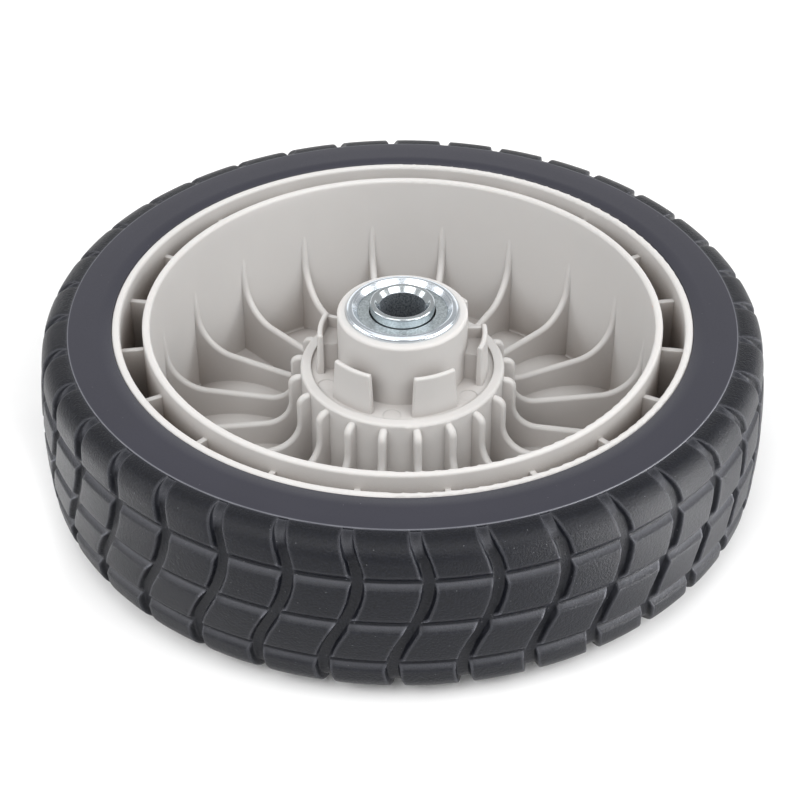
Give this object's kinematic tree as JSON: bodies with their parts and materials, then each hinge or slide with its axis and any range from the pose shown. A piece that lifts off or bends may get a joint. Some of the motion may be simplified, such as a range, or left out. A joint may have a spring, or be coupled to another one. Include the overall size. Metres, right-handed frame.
{
  "type": "lawn mower wheel",
  "caption": "Lawn mower wheel with a ribbed plastic rim, block-tread rubber tyre and a shielded ball bearing at each end of its hub for a plain axle bolt.",
  "frame": {"origin": "centre of the bounding box on the plane that the wheel lies on, under the axle axis", "axes": "+Z along the axle axis from the closed back of the rim to its open, bowl-shaped front; X and Y across the wheel"},
  "size_m": [0.2032, 0.2032, 0.054],
  "materials": {
    "rim_plastic": "satin moulded plastic",
    "tyre_rubber": "matt rubber",
    "race_steel": "bright zinc plate",
    "shield_steel": "dull zinc plate",
    "cage_steel": "plain pressed steel",
    "ball_steel": "polished",
    "spacer_steel": "plain tube"
  },
  "bodies": {
    "wheel": {"wheel_rim": "rim_plastic", "tyre": "tyre_rubber", "front_bearing_outer_race": "race_steel", "front_bearing_outer_shield": "shield_steel", "front_bearing_inner_shield": "shield_steel", "back_bearing_outer_race": "race_steel", "back_bearing_outer_shield": "shield_steel", "back_bearing_inner_shield": "shield_steel"},
    "front_race": {"front_bearing_inner_race": "race_steel"},
    "front_ball_set": {"front_bearing_ball_cage": "cage_steel", "front_bearing_ball_1": "ball_steel", "front_bearing_ball_2": "ball_steel", "front_bearing_ball_3": "ball_steel", "front_bearing_ball_4": "ball_steel", "front_bearing_ball_5": "ball_steel", "front_bearing_ball_6": "ball_steel", "front_bearing_ball_7": "ball_steel"},
    "back_race": {"back_bearing_inner_race": "race_steel", "bearing_spacer": "spacer_steel"},
    "back_ball_set": {"back_bearing_ball_cage": "cage_steel", "back_bearing_ball_1": "ball_steel", "back_bearing_ball_2": "ball_steel", "back_bearing_ball_3": "ball_steel", "back_bearing_ball_4": "ball_steel", "back_bearing_ball_5": "ball_steel", "back_bearing_ball_6": "ball_steel", "back_bearing_ball_7": "ball_steel"}
  },
  "joints": [
    {"name": "front_race_spin", "type": "hinge", "parent": "wheel", "child": "front_race", "pos_m": [0, 0, 0.0467], "axis": [0, 0, 1], "continuous": true},
    {"name": "front_balls_roll", "type": "hinge", "parent": "wheel", "child": "front_ball_set", "pos_m": [0, 0, 0.0467], "axis": [0, 0, 1], "continuous": true},
    {"name": "back_race_spin", "type": "hinge", "parent": "wheel", "child": "back_race", "pos_m": [0, 0, 0.008], "axis": [0, 0, 1], "continuous": true},
    {"name": "back_balls_roll", "type": "hinge", "parent": "wheel", "child": "back_ball_set", "pos_m": [0, 0, 0.008], "axis": [0, 0, 1], "continuous": true}
  ],
  "couplings": [
    {"joint": "front_balls_roll", "follows": "front_race_spin", "ratio": 0.3927},
    {"joint": "back_balls_roll", "follows": "back_race_spin", "ratio": 0.3927}
  ]
}
